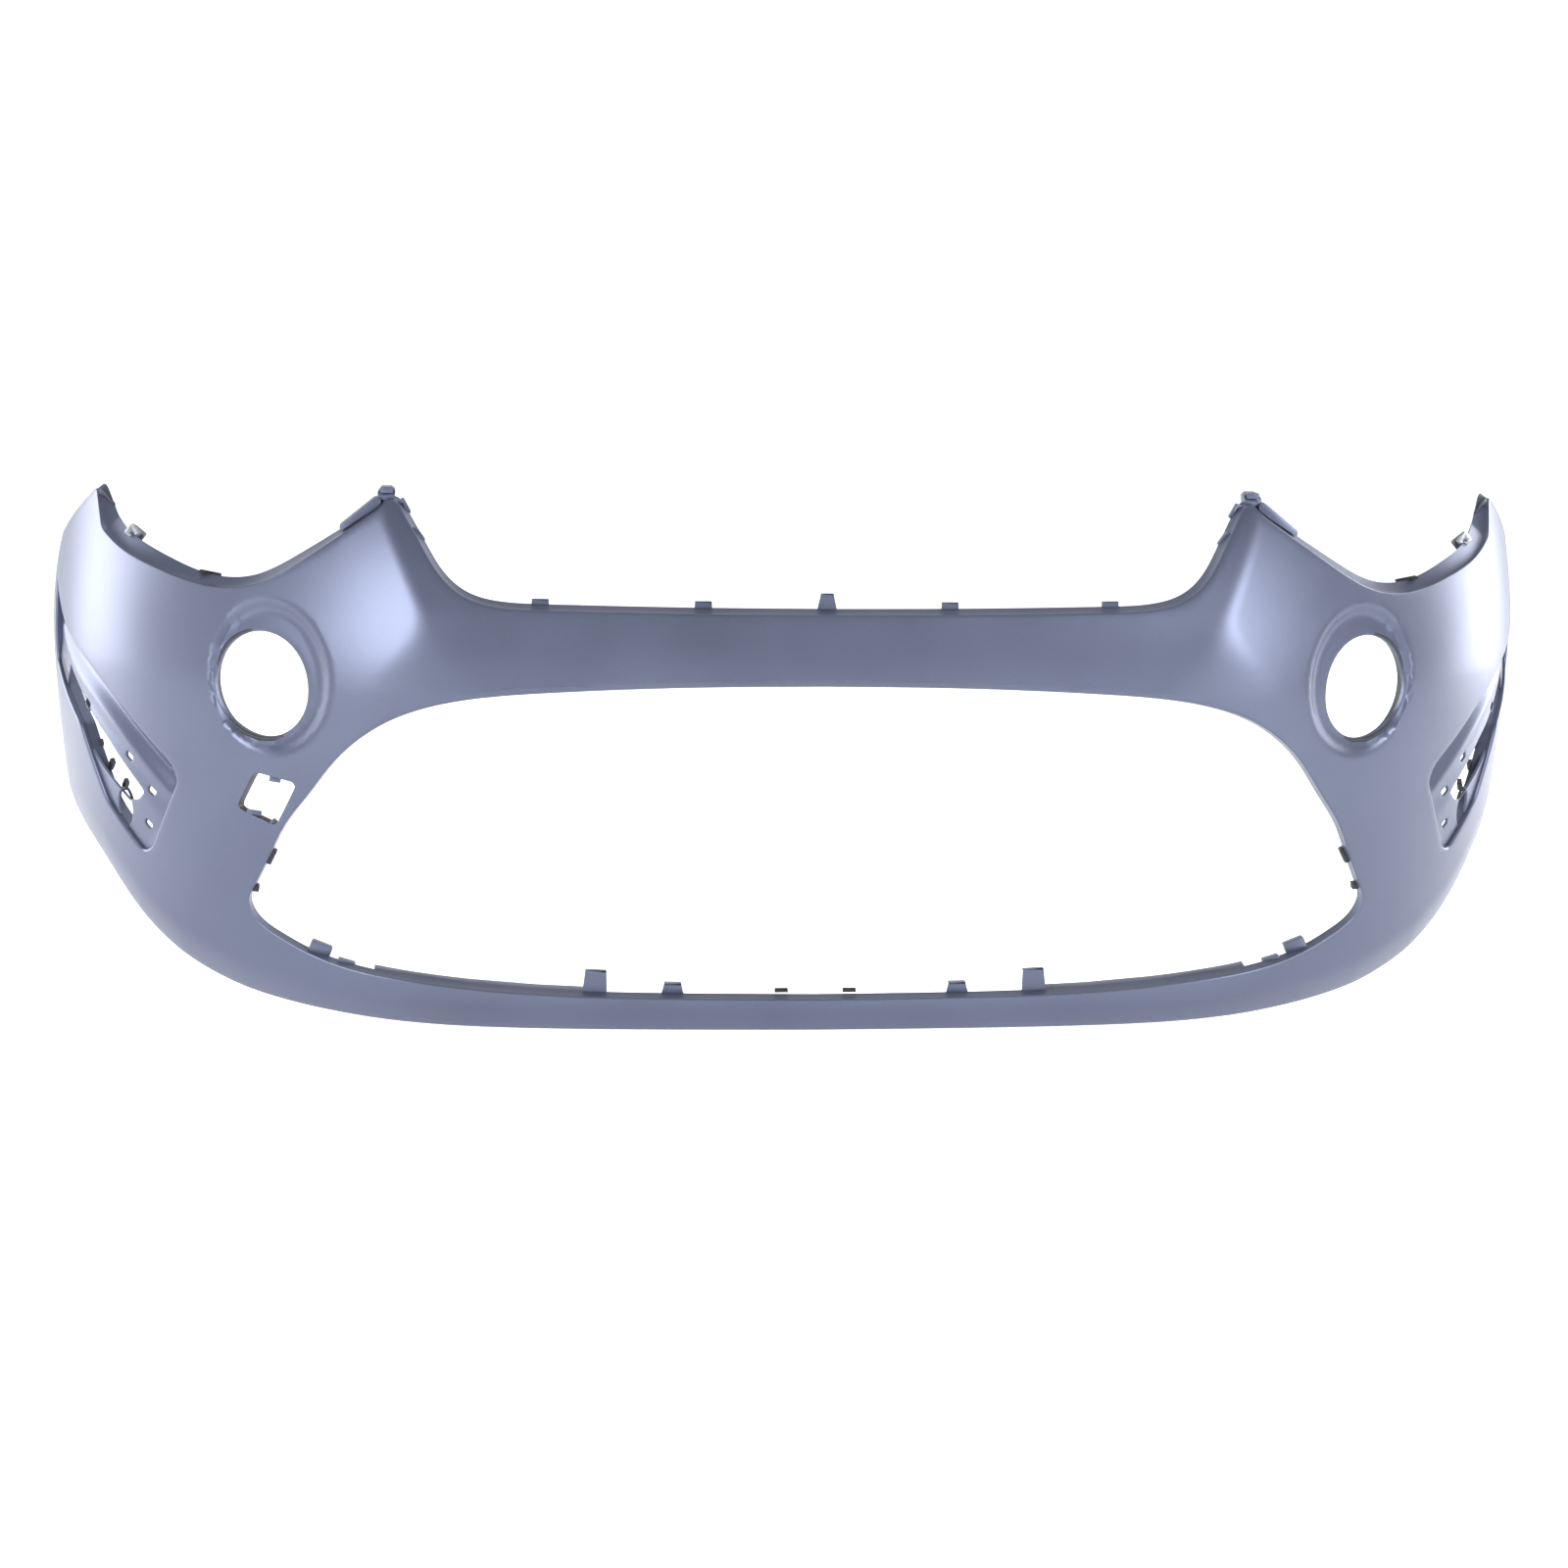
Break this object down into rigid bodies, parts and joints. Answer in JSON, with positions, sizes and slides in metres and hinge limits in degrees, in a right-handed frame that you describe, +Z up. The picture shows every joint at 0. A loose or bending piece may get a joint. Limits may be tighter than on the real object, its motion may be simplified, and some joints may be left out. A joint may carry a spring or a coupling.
{
  "type": "bumper cover",
  "caption": "Wide wrap-around front bumper cover with horned headlamp edges, a crossbar, a large lower opening, round fog lamp seats and side vents.",
  "frame": {"origin": "on the floor under the middle of the cover, below its lower lip", "axes": "+Z up, the front of the car faces -Y, +X to the right of a person who looks at the front"},
  "size_m": [1.9146, 0.5166, 0.6725],
  "materials": {
    "satin_primer": "satin blue-grey primer on moulded plastic",
    "raw_black_plastic": "fine grained raw moulding",
    "spring_steel": "phosphated spring steel",
    "foam_strip": "soft foam rubber"
  },
  "bodies": {
    "root": {"corner_bracket_left": "raw_black_plastic", "corner_bracket_right": "raw_black_plastic", "cover_skin": "satin_primer", "crossbar_centre_tab": "satin_primer", "crossbar_tabs": "satin_primer", "fog_collar_left": "raw_black_plastic", "fog_collar_right": "raw_black_plastic", "horn_cap_left": "satin_primer", "horn_cap_right": "satin_primer", "horn_lip_left": "satin_primer", "horn_lip_right": "satin_primer", "horn_loops_left": "satin_primer", "horn_loops_right": "satin_primer", "lamp_edge_strips_left": "foam_strip", "lamp_edge_strips_right": "foam_strip", "lower_corner_tabs_left": "satin_primer", "lower_corner_tabs_right": "satin_primer", "lower_shelf_left": "satin_primer", "lower_shelf_right": "satin_primer", "lower_small_tabs": "raw_black_plastic", "lower_tall_tabs": "satin_primer", "lower_wide_tabs": "satin_primer", "opening_hooks_left": "raw_black_plastic", "opening_hooks_right": "raw_black_plastic", "tip_clip_left": "spring_steel", "tip_clip_right": "spring_steel", "tow_eye_clips": "satin_primer", "vent_hooks_left": "raw_black_plastic", "vent_hooks_right": "raw_black_plastic", "vent_pan_left": "satin_primer", "vent_pan_right": "satin_primer"}
  },
  "joints": []
}
